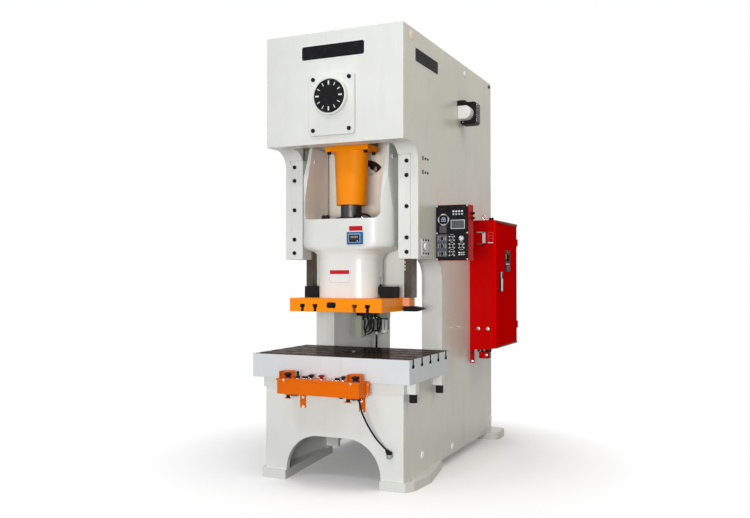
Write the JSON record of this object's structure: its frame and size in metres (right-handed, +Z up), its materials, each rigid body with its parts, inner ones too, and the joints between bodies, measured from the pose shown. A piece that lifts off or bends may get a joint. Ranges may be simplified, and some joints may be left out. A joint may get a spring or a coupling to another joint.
{
  "type": "mechanical stamping press",
  "caption": "Gap-frame mechanical press with crank-driven ram, slotted bolster, two-hand control box, operator panel and side cabinet.",
  "frame": {"origin": "on the floor, at the centre of the four anchor holes, which is the centre of the welded frame", "axes": "+X to the machine's right as its operator sees it, +Y to the back, +Z up"},
  "size_m": [1.355, 2.377, 3.032],
  "materials": {
    "cream_paint": "gloss",
    "orange_paint": "gloss",
    "red_paint": "gloss",
    "grey_paint": "satin",
    "green_grey_paint": "satin",
    "ground_steel": "ground",
    "dark_steel": "oiled",
    "black_steel": "satin",
    "cast_iron": "as cast",
    "bronze": "machined",
    "belt_rubber": "matte",
    "cable_jacket": "matte",
    "black_plastic": "gloss",
    "red_plastic": "gloss",
    "white_plastic": "gloss",
    "clear_bowl": "clear"
  },
  "bodies": {
    "frame": {"side_plate_left": "cream_paint", "side_plate_right": "cream_paint", "column_left": "cream_paint", "column_right": "cream_paint", "gib_left": "cream_paint", "gib_right": "cream_paint", "head_shell": "cream_paint", "throat_web": "cream_paint", "rear_plate": "cream_paint", "bed_front": "cream_paint", "bed_rear": "cream_paint", "bed_top": "cream_paint", "bolster": "ground_steel", "bolster_bolts": "black_steel", "cover_plate": "cream_paint", "socket_screws": "black_steel", "front_bearing": "bronze", "rear_bearing": "bronze", "motor": "grey_paint", "v_belts": "belt_rubber", "flywheel_guard": "cream_paint", "console_box": "orange_paint", "console_brackets": "orange_paint", "cable_gland": "black_plastic", "control_cable": "cable_jacket", "cable_elbow": "grey_paint", "operator_box": "red_paint", "panel_face": "black_plastic", "electric_cabinet": "red_paint", "lubricator_tank": "white_plastic", "lubricator_pump": "black_steel", "air_unit": "green_grey_paint", "filter_bowl": "clear_bowl"},
    "rod": {"connecting_rod": "orange_paint", "rod_big_end": "cast_iron", "rod_bolts": "black_steel"},
    "ram": {"adjusting_screw": "dark_steel", "ball_retainer": "black_steel", "ram_body": "cream_paint", "guide_bar_left": "dark_steel", "guide_bar_right": "dark_steel", "ram_plate": "orange_paint", "stop_bar": "black_steel"},
    "knockout": {"knockout_bar": "black_steel"},
    "crank": {"crankshaft": "ground_steel", "dial": "black_plastic", "main_gear": "cast_iron"},
    "pinion": {"pinion_shaft": "ground_steel"},
    "wheel": {"flywheel": "cast_iron"},
    "motor_rotor": {"motor_pulley": "cast_iron"},
    "door": {"cabinet_door": "red_paint"},
    "handle": {"door_handle": "black_plastic"},
    "switch": {"main_switch": "black_plastic"},
    "palm_left": {"palm_button_left": "black_plastic"},
    "palm_right": {"palm_button_right": "black_plastic"},
    "run": {"run_button": "black_plastic"},
    "emergency": {"emergency_button": "red_plastic"},
    "stop": {"stop_button": "black_plastic"},
    "selector": {"mode_selector": "black_plastic"},
    "knob": {"panel_knob": "white_plastic"}
  },
  "joints": [
    {"name": "slide_stroke", "type": "slide", "parent": "frame", "child": "rod", "axis": [0, 0, 1], "range_m": [0, 0.16]},
    {"name": "die_height_adjust", "type": "slide", "parent": "rod", "child": "ram", "axis": [0, 0, 1], "range_m": [0, 0.08]},
    {"name": "knockout_lift", "type": "slide", "parent": "ram", "child": "knockout", "axis": [0, 0, 1], "range_m": [0, 0.06]},
    {"name": "crank_turn", "type": "hinge", "parent": "frame", "child": "crank", "pos_m": [0, -0.7, 2.583], "axis": [0, 1, 0], "range_deg": [0, 181]},
    {"name": "pinion_turn", "type": "hinge", "parent": "frame", "child": "pinion", "pos_m": [0, 0.3, 2.085], "axis": [0, 1, 0], "range_deg": [-722, 0]},
    {"name": "flywheel_spin", "type": "hinge", "parent": "frame", "child": "wheel", "pos_m": [0, 1.07, 2.085], "axis": [0, 1, 0], "continuous": true},
    {"name": "motor_spin", "type": "hinge", "parent": "frame", "child": "motor_rotor", "pos_m": [0, 1.07, 2.8], "axis": [0, 1, 0], "continuous": true},
    {"name": "cabinet_door_hinge", "type": "hinge", "parent": "frame", "child": "door", "pos_m": [0.731, 1.035, 1.316], "axis": [0, 0, 1], "range_deg": [0, 110]},
    {"name": "door_handle_turn", "type": "hinge", "parent": "door", "child": "handle", "pos_m": [0.727, 0.51, 1.392], "axis": [1, 0, 0], "range_deg": [0, 90]},
    {"name": "main_switch_turn", "type": "hinge", "parent": "door", "child": "switch", "pos_m": [0.727, 0.73, 1.53], "axis": [1, 0, 0], "range_deg": [0, 90]},
    {"name": "palm_left_press", "type": "slide", "parent": "frame", "child": "palm_left", "axis": [0, 0, -1], "range_m": [0, 0.008], "stiffness_N_per_m": 1500, "springref_m": -0.003},
    {"name": "palm_right_press", "type": "slide", "parent": "frame", "child": "palm_right", "axis": [0, 0, -1], "range_m": [0, 0.008], "stiffness_N_per_m": 1500, "springref_m": -0.003},
    {"name": "run_press", "type": "slide", "parent": "frame", "child": "run", "axis": [0, 0, -1], "range_m": [0, 0.005], "stiffness_N_per_m": 800, "springref_m": -0.003},
    {"name": "emergency_press", "type": "slide", "parent": "frame", "child": "emergency", "axis": [0, 0, -1], "range_m": [0, 0.005]},
    {"name": "stop_press", "type": "slide", "parent": "frame", "child": "stop", "axis": [0, 0, -1], "range_m": [0, 0.005], "stiffness_N_per_m": 800, "springref_m": -0.003},
    {"name": "mode_selector_turn", "type": "hinge", "parent": "frame", "child": "selector", "pos_m": [-0.172, -1.146, 0.72], "axis": [0, 0, 1], "range_deg": [-45, 45]},
    {"name": "panel_knob_turn", "type": "hinge", "parent": "frame", "child": "knob", "pos_m": [0.703, -0.385, 1.648], "axis": [0, 1, 0], "range_deg": [-150, 150]}
  ],
  "couplings": [
    {"joint": "crank_turn", "follows": "slide_stroke", "rad_per_m": 19.635},
    {"joint": "pinion_turn", "follows": "slide_stroke", "rad_per_m": -78.54},
    {"joint": "motor_spin", "follows": "flywheel_spin", "ratio": 3.7619}
  ]
}
